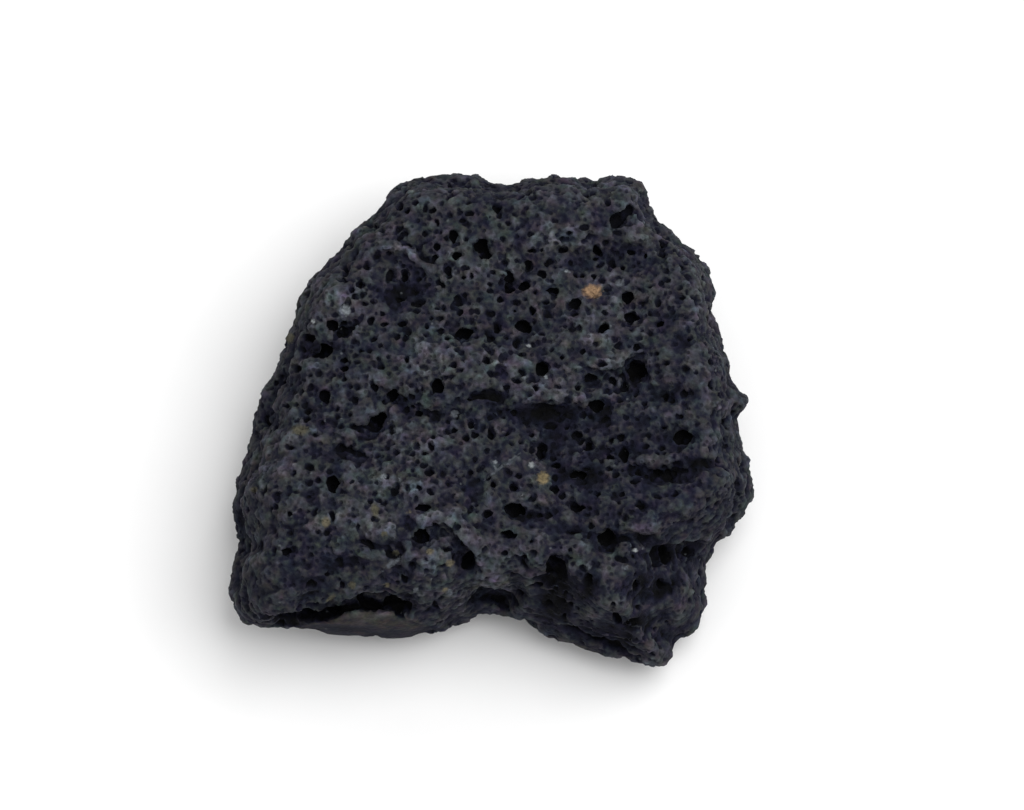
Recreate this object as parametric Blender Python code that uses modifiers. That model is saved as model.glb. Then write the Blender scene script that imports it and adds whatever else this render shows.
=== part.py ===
# A carbonaceous chondrite meteorite: one broken, pitted stone lying on its flattest side.
#
# The stone is shaped in millimetres in the frame of the photograph that it follows: u to the right,
# v up the picture and w towards the viewer, who looks down at VIEW_ELEVATION. Then it is laid down,
# x to the right, y away from the viewer and z up, cut flat where it rests, and brought to metres.

import math

import bmesh
import bpy
import numpy as np
from mathutils import Vector, noise

NAME = "meteorite"

# Driving sizes, in millimetres
STONE_WIDTH = 30.0
TOP_HEIGHT = 10.6
BASE_CUT = 0.35  # how much of the rounded underside the flat spot takes away
MEAN_RADIUS = 12.6  # level rings about the middle come out this round
VIEW_ELEVATION = math.radians(70.0)
METRES = 0.001

# The photograph's scale: the outline is this wide and turns about this pixel
OUTLINE_WIDTH_PX = 525.0
CENTRE_PX = (492.5, 421.0)
MM_PER_PX = STONE_WIDTH / OUTLINE_WIDTH_PX

# The stone's outline as the viewer sees it, in pixels, clockwise from the upper left
OUTLINE_PX = (
    (400, 183), (427, 175.5), (445, 177), (465, 175.5), (480, 177), (493, 184), (508, 185.5),
    (525, 181), (545, 175.5), (575, 178), (600, 181), (630, 178), (641, 181), (645, 192),
    (648, 206), (670, 228), (698, 254), (708, 271), (713, 300), (714, 318), (724, 337),
    (721, 347), (733, 370), (737, 387), (748, 394), (751, 399), (745, 404), (737, 409),
    (735, 420), (740, 438), (739, 449), (752, 475), (755, 487), (751, 500), (735, 522),
    (731, 532), (715, 544), (711, 558), (708, 566), (710, 577), (708, 590), (709, 608),
    (702, 624), (683, 636), (672, 636.5), (668, 642), (669.5, 655), (664, 665), (655, 667),
    (620, 657), (575, 645), (540, 630), (518, 616), (498, 611.5), (480, 614.5), (455, 624),
    (430, 631), (400, 635), (340, 632), (280, 626.5), (258, 627.5), (245, 621), (234, 606),
    (230, 585), (232, 563), (240, 543), (235, 523), (231, 503), (236, 487), (246, 465),
    (254, 428), (260, 400), (275, 368), (285, 342), (301, 303), (311, 277), (322, 267),
    (345, 250), (368, 220), (385, 198),
)

# How the sides run down, by direction in degrees (0 is right, 90 is the far side): the height of
# the widest line above the table, the width of the shoulder above it, and how round that is
SIDES = (
    (0, 5.0, 2.2, 2.0),
    (45, 6.4, 1.7, 2.0),
    (90, 6.8, 1.5, 2.0),
    (135, 6.2, 1.7, 2.0),
    (180, 4.4, 2.2, 1.9),
    (212, 3.0, 3.6, 1.7),
    (240, 2.2, 5.2, 1.6),
    (285, 2.0, 5.8, 1.5),
    (318, 2.0, 6.4, 1.4),
    (342, 3.2, 3.8, 1.8),
)
TOP_SLOPE = (-0.012, 0.035)  # the top's rise per millimetre of u and of v
UNDERSIDE_POWER = 1.8  # higher keeps the underside full further out
OUTLINE_POWER = 1.5  # higher leaves the outline's own shape sooner, from the edge inwards

# Ledges: a line in pixels with the high side on its left hand, then in millimetres the lip's
# height and reach back, and the drop below it and its reach out
LEDGES = (
    (((372, 384), (400, 397), (420, 406), (440, 403), (462, 396), (482, 394), (514, 396)),
     0.30, 1.3, 0.85, 0.9),
    (((506, 397), (522, 402), (545, 403), (570, 405), (588, 398)), 0.30, 1.1, 1.00, 1.0),
    (((568, 376), (580, 371), (600, 370), (620, 367), (648, 347)), 0.32, 0.8, 0.50, 0.7),
    (((590, 528), (632, 531), (655, 533), (664, 545), (690, 541), (726, 539)), 0.25, 1.2, 0.95, 1.3),
    (((410, 548), (416, 534), (428, 526), (443, 524), (457, 531), (467, 545), (474, 562)),
     0.32, 0.8, 0.85, 1.1),
    (((366, 262), (382, 252), (402, 250), (417, 262), (431, 282)), 0.28, 0.5, 0.40, 0.7),
    (((536, 226), (575, 236), (615, 232), (645, 240), (672, 260)), 0.18, 1.0, 0.40, 1.4),
    (((722, 530), (737, 500), (739, 472), (736, 444)), 0.00, 1.0, 0.55, 0.9),
    (((322, 548), (345, 553), (368, 557), (400, 560)), 0.25, 0.6, 0.15, 0.8),
    (((326, 433), (352, 437), (372, 441), (384, 434)), 0.22, 0.5, 0.10, 0.5),
    (((624, 460), (650, 465), (672, 461), (696, 457)), 0.22, 0.9, 0.20, 0.6),
)

# Slots and crevices: a line in pixels, then half the width and the depth in millimetres
SLOTS = (
    (((349, 426), (362, 430), (372, 431), (380, 422), (387, 411)), 0.30, 0.90),
    (((336, 446), (352, 452), (370, 458)), 0.22, 0.60),
    (((356, 539), (370, 544), (383, 549)), 0.30, 0.95),
    (((384, 542), (396, 545), (409, 551)), 0.30, 0.95),
    (((272, 621), (300, 617), (326, 612), (349, 606), (363, 602), (379, 605), (391, 603), (408, 615)),
     0.42, 1.60),
    (((462, 609), (478, 604), (490, 599), (500, 603), (518, 609)), 0.32, 0.80),
    (((562, 628), (600, 643), (645, 660)), 0.24, 0.55),
    (((627, 467), (645, 470), (660, 475), (676, 470), (690, 472), (699, 464), (722, 462)), 0.22, 0.70),
    (((568, 560), (552, 562), (553, 572), (557, 586)), 0.40, 1.00),
    (((610, 220), (624, 217), (635, 208)), 0.32, 0.95),
    (((396, 241), (414, 246), (424, 258), (438, 269)), 0.26, 0.80),
    (((335, 335), (350, 328), (362, 319)), 0.24, 0.50),
    (((511, 549), (524, 559), (527, 573)), 0.18, 0.40),
)

# Hollows, and swellings where the depth is negative: place and half-axes in pixels, then the depth
# in millimetres, the broad ones first
HOLLOWS = (
    (520, 225, 120, 50, -0.45),
    (400, 365, 80, 45, -0.35),
    (606, 436, 90, 44, 0.45),
    (322, 500, 56, 50, -0.40),
    (694, 340, 26, 60, -0.30),
    (600, 605, 74, 44, 0.35),
    (668, 508, 50, 18, -0.35),
    (452, 480, 60, 34, -0.30),
    (405, 293, 24, 11, 0.38),
    (642, 254, 40, 20, 0.35),
    (404, 272, 15, 11, 0.30),
    (290, 548, 11, 8, 0.35),
    (337, 559, 16, 9, 0.30),
    (308, 584, 16, 9, 0.38),
    (490, 594, 16, 9, 0.40),
    (500, 562, 32, 30, -0.50),
    (664, 392, 20, 13, 0.38),
    (556, 450, 17, 13, 0.35),
    (686, 434, 16, 12, 0.35),
    (300, 440, 24, 20, -0.25),
    (350, 437, 20, 8, -0.20),
    (255, 480, 20, 36, -0.25),
)

# Round and oval pits where grains have dropped out: place, width and height in pixels
PITS = (
    (370, 226, 14, 7), (353, 250, 18, 8), (456, 256, 12, 9), (453, 236, 8, 13), (482, 250, 16, 18),
    (510, 283, 10, 20), (525, 287, 13, 10), (551, 291, 16, 7), (465, 334, 16, 12), (523, 326, 12, 11),
    (562, 250, 12, 9), (597, 250, 11, 12), (576, 303, 12, 9), (663, 243, 12, 9), (627, 298, 13, 13),
    (631, 318, 14, 11), (605, 328, 9, 14), (331, 325, 12, 10), (308, 338, 16, 11), (321, 351, 22, 13),
    (287, 385, 12, 9), (325, 396, 12, 12), (344, 364, 11, 12), (267, 422, 10, 17), (384, 416, 10, 12),
    (390, 398, 11, 12), (332, 482, 11, 16), (438, 387, 12, 14), (541, 370, 12, 14), (550, 427, 14, 9),
    (577, 434, 12, 10), (594, 405, 17, 11), (604, 421, 13, 11), (543, 449, 10, 12), (588, 446, 12, 9),
    (580, 475, 19, 10), (590, 379, 14, 8), (637, 371, 18, 16), (625, 384, 9, 12), (683, 437, 16, 11),
    (726, 424, 11, 15), (422, 537, 14, 16), (468, 563, 13, 14), (515, 508, 18, 12), (508, 535, 17, 10),
    (425, 508, 20, 10), (578, 507, 12, 10), (608, 541, 16, 12), (622, 556, 14, 14), (667, 552, 14, 20),
    (690, 552, 12, 11), (666, 588, 16, 10), (589, 581, 11, 16), (536, 587, 16, 8), (618, 626, 11, 14),
    (638, 625, 13, 10),
)
PIT_DEPTH = 0.62  # of the pit's mean width
PIT_GROWTH = 1.12  # pits are cut a little wide, so that they stay open at this mesh's size

# The sides that the photograph does not show, rough in the same way: pits, and shallow dished
# breaks of two sizes, as pairs of size and depth in millimetres
HIDDEN_PITS = 120
HIDDEN_PIT_RADIUS = (0.45, 0.85)
HIDDEN_CHIPS = ((7.5, 1.4), (3.1, 0.6))
SEEN_CHIPS = 0.25  # the share of those breaks that the photographed side also has
WAIST_BAND = 2.4  # near the widest line, which gives the outline, the breaks are shallower
WAIST_CALM = 0.85
WAIST_GROWTH = 0.16  # makes up for what the breaks and the rounding take off the outline
CALM_HEIGHTS = (-0.05, 0.5)  # the roughness starts above the first height and is whole at the second
SEED = 41

# The facing of a surface, as its normal's share towards the viewer, between which the relief read
# from the photograph takes over from the hidden sides' own
SEEN_FROM = 0.10
SEEN_WHOLE = 0.42

# Lines and rims wander: wavelength and reach in millimetres
WANDER = ((2.4, 0.34), (0.9, 0.13))

# Broad unevenness everywhere: wavelength and height in millimetres
SWELLS = ((7.5, 0.42), (2.6, 0.17), (1.2, 0.07))

BLANK_VOXEL = 0.26
CARVED_VOXEL = 0.19
TRIANGLES = 9300


def clear_scene():
    for item in list(bpy.data.objects):
        bpy.data.objects.remove(item, do_unlink=True)


def new_collection():
    collection = bpy.data.collections.new("carbonaceous chondrite meteorite")
    bpy.context.scene.collection.children.link(collection)
    return collection


def to_mm(points_px):
    points = np.array(points_px, dtype=float)
    flipped = (points - CENTRE_PX) * (1, -1)
    return flipped * MM_PER_PX


def closed_curve(points, steps):
    # a smooth closed curve through the points, with this many steps from one to the next
    before = np.roll(points, 1, axis=0)
    after = np.roll(points, -1, axis=0)
    beyond = np.roll(points, -2, axis=0)
    rows = []
    for t in np.linspace(0.0, 1.0, steps, endpoint=False):
        first = (after - before) * t
        second = (2 * before - 5 * points + 4 * after - beyond) * t ** 2
        third = (3 * points - before - 3 * after + beyond) * t ** 3
        rows.append(points + 0.5 * (first + second + third))
    return np.stack(rows, axis=1).reshape(-1, 2)


def outline_radius(angles):
    curve = closed_curve(to_mm(OUTLINE_PX), 8)
    curve_angles = np.arctan2(curve[:, 1], curve[:, 0])
    curve_radii = np.hypot(curve[:, 0], curve[:, 1])
    return np.interp(angles, curve_angles, curve_radii, period=2 * math.pi)


def side_values(angles):
    table = np.array(SIDES, dtype=float)
    degrees = np.degrees(angles)
    return [np.interp(degrees, table[:, 0], table[:, column], period=360) for column in (1, 2, 3)]


def read_points(mesh):
    values = np.empty(len(mesh.vertices) * 3)
    mesh.vertices.foreach_get("co", values)
    return values.reshape(-1, 3)


def read_normals(mesh):
    values = np.empty(len(mesh.vertices) * 3)
    mesh.vertices.foreach_get("normal", values)
    return values.reshape(-1, 3)


def write_points(mesh, points):
    mesh.vertices.foreach_set("co", points.astype(np.float32).ravel())
    mesh.update()


def through_modifier(mesh, kind, **settings):
    # a new mesh: this one after a single modifier
    holder = bpy.data.objects.new("work", mesh)
    bpy.context.scene.collection.objects.link(holder)
    modifier = holder.modifiers.new(kind.lower(), kind)
    for key, value in settings.items():
        setattr(modifier, key, value)
    depsgraph = bpy.context.evaluated_depsgraph_get()
    result = bpy.data.meshes.new_from_object(holder.evaluated_get(depsgraph))
    bpy.data.objects.remove(holder, do_unlink=True)
    bpy.data.meshes.remove(mesh)
    return result


def height_to_w(v, height):
    # how far towards the viewer a point lies that shows at v and stands this high
    return (height - v * math.cos(VIEW_ELEVATION)) / math.sin(VIEW_ELEVATION)


def height_above_table(points):
    return points[:, 1] * math.cos(VIEW_ELEVATION) + points[:, 2] * math.sin(VIEW_ELEVATION)


def blank_stone():
    # a ball drawn out to the outline: its upper half becomes the top and the shoulders, and its
    # lower half the rounded underside
    ball = bmesh.new()
    bmesh.ops.create_icosphere(ball, subdivisions=6, radius=1.0)
    mesh = bpy.data.meshes.new("blank")
    ball.to_mesh(mesh)
    ball.free()

    points = read_points(mesh)
    reach = np.clip(np.hypot(points[:, 0], points[:, 1]), 0.0, 1.0)
    angles = np.arctan2(points[:, 1], points[:, 0])
    radius = outline_radius(angles)
    waist, shoulder_width, roundness = side_values(angles)

    ring = reach * (MEAN_RADIUS + (radius - MEAN_RADIUS) * reach ** OUTLINE_POWER)
    u = ring * np.cos(angles)
    v = ring * np.sin(angles)
    inset = radius - ring
    left_over = 1.0 - np.clip(inset / shoulder_width, 0.0, 1.0)
    shoulder = (1.0 - left_over ** roundness) ** (1.0 / roundness)
    top = TOP_HEIGHT + TOP_SLOPE[0] * u + TOP_SLOPE[1] * v
    upper = waist + (top - waist) * shoulder
    fullness = np.sqrt(1.0 - reach ** UNDERSIDE_POWER)
    lower = waist - (waist + BASE_CUT) * fullness
    height = np.where(points[:, 2] >= 0.0, upper, lower)

    write_points(mesh, np.column_stack((u, v, height_to_w(v, height))))
    return through_modifier(mesh, "REMESH", mode="VOXEL", voxel_size=BLANK_VOXEL)


def along_line(u, v, line):
    # each point's signed distance from the line, positive on its left hand, and how far along the
    # line the nearest spot lies, from 0 to 1
    steps = np.diff(line, axis=0)
    lengths = np.hypot(steps[:, 0], steps[:, 1])
    starts = np.concatenate(([0.0], np.cumsum(lengths)))
    nearest = np.full(len(u), np.inf)
    side = np.ones(len(u))
    share = np.zeros(len(u))
    for start, step, length, run in zip(line, steps, lengths, starts):
        du = u - start[0]
        dv = v - start[1]
        t = np.clip((du * step[0] + dv * step[1]) / length ** 2, 0.0, 1.0)
        distance = np.hypot(du - t * step[0], dv - t * step[1])
        closer = distance < nearest
        nearest[closer] = distance[closer]
        side[closer] = np.sign(step[0] * dv - step[1] * du)[closer]
        share[closer] = ((run + t * length) / starts[-1])[closer]
    return nearest * side, share


def fade_ends(share):
    return np.sqrt(np.clip(5.0 * share * (1.0 - share), 0.0, 1.0))


def smooth_between(values, low, high):
    t = np.clip((values - low) / (high - low), 0.0, 1.0)
    return t * t * (3.0 - 2.0 * t)


def wander(points):
    # a small shift in u and v for each point, which makes ruled features irregular
    shift = np.zeros((len(points), 2))
    for order, (wavelength, reach) in enumerate(WANDER):
        offset = Vector((3.0, 11.0 + 7.0 * order, 5.0))
        turned = [noise.noise_vector(Vector(point) / wavelength + offset) for point in points]
        shift += reach * np.array(turned)[:, :2]
    return shift


def photographed_relief(points):
    # how far each point of the side that the viewer sees is pushed out (+) or sunk (-)
    u, v = (points[:, :2] + wander(points)).T
    push = np.zeros(len(u))
    for line_px, lip, lip_reach, drop, drop_reach in LEDGES:
        distance, share = along_line(u, v, to_mm(line_px))
        high = lip * np.exp(-np.abs(distance) / lip_reach)
        low = -drop * np.exp(-np.abs(distance) / drop_reach)
        push += fade_ends(share) * (low + (high - low) * smooth_between(distance, -0.15, 0.15))
    for x, y, half_width, half_height, depth in HOLLOWS:
        centre = to_mm((x, y))
        across = (u - centre[0]) / (half_width * MM_PER_PX)
        up = (v - centre[1]) / (half_height * MM_PER_PX)
        push -= depth * np.exp(-(across ** 2 + up ** 2))
    for line_px, half_width, depth in SLOTS:
        distance, share = along_line(u, v, to_mm(line_px))
        inside = np.clip(1.0 - (distance / half_width) ** 2, 0.0, 1.0)
        push -= depth * np.sqrt(inside) * fade_ends(share)
    deepest = np.zeros(len(u))
    for x, y, width, height in PITS:
        centre = to_mm((x, y))
        mean_width = math.sqrt(width * height) * MM_PER_PX
        across = (points[:, 0] - centre[0]) / (0.5 * PIT_GROWTH * width * MM_PER_PX)
        up = (points[:, 1] - centre[1]) / (0.5 * PIT_GROWTH * height * MM_PER_PX)
        inside = np.clip(1.0 - across ** 2 - up ** 2, 0.0, 1.0)
        deepest = np.maximum(deepest, PIT_DEPTH * mean_width * np.sqrt(inside))
    return push - deepest


def swells(points):
    push = np.zeros(len(points))
    for order, (wavelength, height) in enumerate(SWELLS):
        shift = Vector((17.0 * order, 5.0, 29.0))
        push += [height * noise.noise(Vector(point) / wavelength + shift) for point in points]
    return push


def chips(points):
    # shallow dished breaks with ridges between them; they only take stone away
    push = np.zeros(len(points))
    for order, (size, depth) in enumerate(HIDDEN_CHIPS):
        offset = Vector((3.0, 8.0, 1.0 + 5.0 * order))
        reach = [noise.voronoi(Vector(point) / size + offset)[0][0] for point in points]
        push -= depth * np.clip(1.0 - np.array(reach) / 0.9, 0.0, 1.0)
    return push


def hidden_pits(points, hidden):
    random = np.random.default_rng(SEED)
    candidates = np.flatnonzero(hidden > 0.9)
    centres = points[random.choice(candidates, HIDDEN_PITS, replace=False)]
    radii = random.uniform(HIDDEN_PIT_RADIUS[0], HIDDEN_PIT_RADIUS[1], HIDDEN_PITS)
    deepest = np.zeros(len(points))
    for centre, radius in zip(centres, radii):
        distance = np.linalg.norm(points - centre, axis=1) / radius
        deepest = np.maximum(deepest, radius * np.sqrt(np.clip(1.0 - distance ** 2, 0.0, 1.0)))
    return -deepest


def carve(mesh):
    points = read_points(mesh)
    normals = read_normals(mesh)
    seen = smooth_between(normals[:, 2], SEEN_FROM, SEEN_WHOLE)
    height = height_above_table(points)
    waist = side_values(np.arctan2(points[:, 1], points[:, 0]))[0]
    at_waist = np.exp(-((height - waist) / WAIST_BAND) ** 2)
    off_waist = 1.0 - WAIST_CALM * at_waist
    clear_of_table = smooth_between(height, CALM_HEIGHTS[0], CALM_HEIGHTS[1])
    hidden = (1.0 - seen) * clear_of_table
    push = seen * photographed_relief(points)
    push += clear_of_table * np.maximum(seen, off_waist) * swells(points)
    push += np.maximum(hidden * off_waist, SEEN_CHIPS * seen) * chips(points)
    push += hidden * (1.0 + off_waist) / 2 * hidden_pits(points, hidden)
    push += WAIST_GROWTH * at_waist
    write_points(mesh, points + normals * push[:, None])
    return through_modifier(mesh, "REMESH", mode="VOXEL", voxel_size=CARVED_VOXEL)


def keep_largest_piece(bm):
    # drops the closed specks and bubbles that carving can leave beside or inside the stone
    unseen = set(bm.verts)
    pieces = []
    while unseen:
        queue = [unseen.pop()]
        piece = set(queue)
        while queue:
            for edge in queue.pop().link_edges:
                for vert in edge.verts:
                    if vert in unseen:
                        unseen.remove(vert)
                        piece.add(vert)
                        queue.append(vert)
        pieces.append(piece)
    pieces.sort(key=len)
    for piece in pieces[:-1]:
        bmesh.ops.delete(bm, geom=list(piece), context="VERTS")


def lay_down(mesh):
    points = read_points(mesh)
    sine = math.sin(VIEW_ELEVATION)
    cosine = math.cos(VIEW_ELEVATION)
    y = points[:, 1] * sine - points[:, 2] * cosine
    z = points[:, 1] * cosine + points[:, 2] * sine
    write_points(mesh, np.column_stack((points[:, 0], y, z)))


def cut_flat_spot(bm):
    geometry = bm.verts[:] + bm.edges[:] + bm.faces[:]
    bmesh.ops.bisect_plane(bm, geom=geometry, dist=0.03, plane_co=(0, 0, 0), plane_no=(0, 0, -1),
                           clear_outer=True)
    rim = [edge for edge in bm.edges if edge.is_boundary]
    for edge in rim:
        for vert in edge.verts:
            vert.co.z = 0.0
    bmesh.ops.triangle_fill(bm, edges=rim, use_beauty=True)
    bmesh.ops.dissolve_degenerate(bm, dist=0.01, edges=bm.edges[:])
    bmesh.ops.triangulate(bm, faces=bm.faces[:])


def centre_over_origin(bm):
    lowest = Vector([min(vert.co[axis] for vert in bm.verts) for axis in range(3)])
    highest = Vector([max(vert.co[axis] for vert in bm.verts) for axis in range(3)])
    shift = Vector((lowest.x + highest.x, lowest.y + highest.y, 0.0)) / -2
    bmesh.ops.translate(bm, vec=shift, verts=bm.verts[:])


def stone_material():
    # a dark, fine-grained, dull matrix
    material = bpy.data.materials.new("chondrite matrix, broken")
    material.use_nodes = True
    shader = material.node_tree.nodes["Principled BSDF"]
    shader.inputs["Base Color"].default_value = (0.028, 0.028, 0.034, 1.0)
    shader.inputs["Roughness"].default_value = 0.92
    shader.inputs["Metallic"].default_value = 0.0
    return material


def build_meteorite(collection):
    mesh = carve(blank_stone())
    lay_down(mesh)

    bm = bmesh.new()
    bm.from_mesh(mesh)
    keep_largest_piece(bm)
    bmesh.ops.triangulate(bm, faces=bm.faces[:])
    bm.to_mesh(mesh)
    count = len(bm.faces)
    bm.free()

    mesh = through_modifier(mesh, "DECIMATE", ratio=TRIANGLES / count, use_collapse_triangulate=True)
    bm = bmesh.new()
    bm.from_mesh(mesh)
    cut_flat_spot(bm)
    centre_over_origin(bm)
    bmesh.ops.scale(bm, vec=(METRES, METRES, METRES), verts=bm.verts[:])
    bmesh.ops.recalc_face_normals(bm, faces=bm.faces[:])
    bm.to_mesh(mesh)
    bm.free()

    mesh.name = NAME
    mesh.materials.append(stone_material())
    stone = bpy.data.objects.new(NAME, mesh)
    collection.objects.link(stone)
    return stone


clear_scene()
build_meteorite(new_collection())
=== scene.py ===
import math

import bmesh
import bpy
import numpy as np
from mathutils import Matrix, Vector, kdtree, noise


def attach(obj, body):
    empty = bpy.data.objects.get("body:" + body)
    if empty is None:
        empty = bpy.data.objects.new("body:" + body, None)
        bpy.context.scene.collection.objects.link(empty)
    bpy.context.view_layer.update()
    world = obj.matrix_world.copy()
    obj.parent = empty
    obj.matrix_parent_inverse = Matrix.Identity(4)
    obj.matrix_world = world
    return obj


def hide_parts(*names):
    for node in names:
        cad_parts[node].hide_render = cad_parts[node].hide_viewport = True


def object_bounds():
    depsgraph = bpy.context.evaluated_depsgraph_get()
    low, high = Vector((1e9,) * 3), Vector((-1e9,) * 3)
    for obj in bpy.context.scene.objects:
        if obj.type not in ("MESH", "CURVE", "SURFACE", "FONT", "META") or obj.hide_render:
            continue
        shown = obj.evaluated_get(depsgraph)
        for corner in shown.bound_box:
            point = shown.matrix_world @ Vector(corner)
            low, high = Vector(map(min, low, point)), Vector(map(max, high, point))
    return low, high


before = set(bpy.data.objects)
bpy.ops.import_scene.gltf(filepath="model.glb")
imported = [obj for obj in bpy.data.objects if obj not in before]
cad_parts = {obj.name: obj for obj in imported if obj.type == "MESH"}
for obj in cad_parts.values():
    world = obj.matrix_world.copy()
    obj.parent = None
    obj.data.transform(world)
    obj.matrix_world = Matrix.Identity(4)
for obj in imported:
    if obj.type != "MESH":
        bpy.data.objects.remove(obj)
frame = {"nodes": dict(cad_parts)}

# A carbonaceous chondrite meteorite: one dark, broken, finely pitted stone on a pale table.
# The stone is worked in millimetres and brought to metres at the end.

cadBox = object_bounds()
print("frame loaded:", ", ".join(frame["nodes"]))


# Camera: a long lens above the stone, where the photograph was taken from

view = {
    "pictureSize": (1024, 810),
    "pixelsPerMm": 17.5,  # at the stone
    "elevation": 70.0,  # degrees above the table
    "aim": (1.11, 2.35, 4.5),  # the picture's middle: mm to the right, up the picture, towards the viewer
    "lens": 360.0,
    "sensor": 36.0,
}
tilt = math.radians(view["elevation"])
rightWay = Vector((1.0, 0.0, 0.0))
upWay = Vector((0.0, math.sin(tilt), math.cos(tilt)))
viewerWay = Vector((0.0, -math.cos(tilt), math.sin(tilt)))
cameraDistance = view["pictureSize"][0] / view["pixelsPerMm"] * view["lens"] / view["sensor"]


def addCamera():
    data = bpy.data.cameras.new("camera")
    data.lens = view["lens"]
    data.sensor_width = view["sensor"]
    data.clip_start = 0.01
    data.clip_end = 10.0
    camera = bpy.data.objects.new("camera", data)
    right, up, near = view["aim"]
    camera.location = (rightWay * right + upWay * up + viewerWay * (near + cameraDistance)) * 0.001
    camera.rotation_euler = (math.pi / 2 - tilt, 0.0, 0.0)
    bpy.context.scene.collection.objects.link(camera)
    bpy.context.scene.camera = camera


def picturePlace(points):
    # where points in millimetres show in the picture, in pixels across and down
    across = points @ np.array(rightWay) - view["aim"][0]
    up = points @ np.array(upWay) - view["aim"][1]
    near = points @ np.array(viewerWay) - view["aim"][2]
    scale = view["pixelsPerMm"] * cameraDistance / (cameraDistance - near)
    return view["pictureSize"][0] / 2 + across * scale, view["pictureSize"][1] / 2 - up * scale


addCamera()
print("camera ready")


# Table and light: white paper in a white room, a soft lamp overhead to the right, and a lower
# one beyond the stone that shades the sides of its lumps

studio = {
    "floorSize": 1.6,  # metres
    "floorColour": "f2f2f2",
    "roomStrength": 0.68,
    "lamps": (  # place and size in metres, power in watts
        ("overhead lamp", (0.125, 0.005, 0.300), 0.30, 0.80),
        ("far lamp", (0.040, 0.250, 0.190), 0.16, 0.06),
    ),
}


def linearColour(hexText):
    # an sRGB hex colour as the linear values that the shader takes
    parts = [int(hexText[i:i + 2], 16) / 255 for i in (0, 2, 4)]
    return [c / 12.92 if c <= 0.04045 else ((c + 0.055) / 1.055) ** 2.4 for c in parts] + [1.0]


def addNode(tree, kind, settings=None, links=None):
    # one node, its settings by property or socket name, and what its sockets are linked to
    node = tree.nodes.new(kind)
    for name, value in (settings or {}).items():
        if isinstance(name, str) and hasattr(node, name):
            setattr(node, name, value)
        else:
            node.inputs[name].default_value = value
    for name, source in (links or {}).items():
        tree.links.new(source, node.inputs[name])
    return node


def newMaterial(name):
    material = bpy.data.materials.new(name)
    material.use_nodes = True
    tree = material.node_tree
    return material, tree, tree.nodes["Principled BSDF"]


def paperMaterial():
    # matt white paper: even and without gloss, with the faintest mottle of its fibres
    material, tree, shader = newMaterial("studio paper, matt")
    where = addNode(tree, "ShaderNodeTexCoord")
    fibres = addNode(tree, "ShaderNodeTexNoise", {"Scale": 1 / 0.004, "Detail": 3.0},
                     {"Vector": where.outputs["Object"]})
    tone = addNode(tree, "ShaderNodeMix", {"data_type": "RGBA", 6: linearColour(studio["floorColour"]),
                                           7: linearColour("f5f5f5")}, {0: fibres.outputs["Fac"]})
    tree.links.new(tone.outputs[2], shader.inputs["Base Color"])
    shader.inputs["Roughness"].default_value = 0.95
    shader.inputs["Specular IOR Level"].default_value = 0.1
    return material


def addTableAndLight():
    bm = bmesh.new()
    bmesh.ops.create_grid(bm, x_segments=1, y_segments=1, size=studio["floorSize"] / 2)
    mesh = bpy.data.meshes.new("table")
    bm.to_mesh(mesh)
    bm.free()
    mesh.materials.append(paperMaterial())
    table = bpy.data.objects.new("table", mesh)
    bpy.context.scene.collection.objects.link(table)

    world = bpy.data.worlds.new("white room")
    world.use_nodes = True
    room = world.node_tree.nodes["Background"]
    room.inputs["Color"].default_value = (1.0, 1.0, 1.0, 1.0)
    room.inputs["Strength"].default_value = studio["roomStrength"]
    bpy.context.scene.world = world

    for name, place, size, power in studio["lamps"]:
        lampData = bpy.data.lights.new(name, "AREA")
        lampData.shape = "DISK"
        lampData.size = size
        lampData.energy = power
        lamp = bpy.data.objects.new(name, lampData)
        lamp.location = place
        lamp.rotation_euler = (-Vector(place)).to_track_quat("-Z", "Y").to_euler()
        bpy.context.scene.collection.objects.link(lamp)


addTableAndLight()
bpy.context.scene.view_settings.view_transform = "Standard"
print("table and light ready")


# The stone

stone = {
    "node": "meteorite",
    "firstGrid": 0.085,  # mm between points while the forms are cut
    "secondGrid": 0.075,  # mm between points while the grain is cut
    "facetSmoothing": 26,
    "skin": 0.10,  # mm, makes up for what the smoothing and the roughness take away
    "smallPits": 4200,  # scattered, with their radii in mm
    "smallPitRadius": (0.09, 0.21),
    "pitClusters": 1.7,  # mm across
    "hiddenPits": 480,  # larger ones, on the sides that the picture doesn't show
    "hiddenPitRadius": (0.18, 0.34),
    "pitDepth": 1.05,  # of a pit's mean width
    "pitWander": 0.32,  # how far a pit's rim strays, of its radius
    "rimCalm": 0.38,  # how much finer the grain is along the outline and round the sides
    "seenFrom": 0.10,  # a surface facing the viewer this much starts to follow the picture
    "seenWhole": 0.42,
    "triangles": 192000,
    "seed": 7,
}

# Ledges seen in the picture: a line in pixels with the high side on its left hand, the lip's height
# and the drop below it in mm
ledges = (
    (((372, 384), (400, 397), (420, 406), (440, 403), (462, 396), (482, 394), (514, 396)), 0.06, 0.08),
    (((506, 397), (522, 402), (545, 403), (570, 405), (588, 398)), 0.08, 0.12),
    (((568, 376), (580, 371), (600, 370), (620, 367), (648, 347)), 0.14, 0.25),
    (((590, 528), (632, 531), (655, 533), (664, 545), (690, 541), (726, 539)), 0.04, 0.08),
    (((410, 548), (416, 534), (428, 526), (443, 524), (457, 531), (467, 545), (474, 562)), 0.14, 0.30),
    (((366, 262), (382, 252), (402, 250), (417, 262), (431, 282)), 0.06, 0.10),
    (((536, 226), (575, 236), (615, 232), (645, 240), (672, 260)), 0.03, 0.05),
    (((722, 530), (737, 500), (739, 472), (736, 444)), 0.05, 0.30),
    (((322, 548), (345, 553), (368, 557), (400, 560)), 0.06, 0.06),
    (((326, 433), (352, 437), (372, 441), (384, 434)), 0.10, 0.15),
    (((624, 460), (650, 465), (672, 461), (696, 457)), 0.04, 0.05),
)

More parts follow.
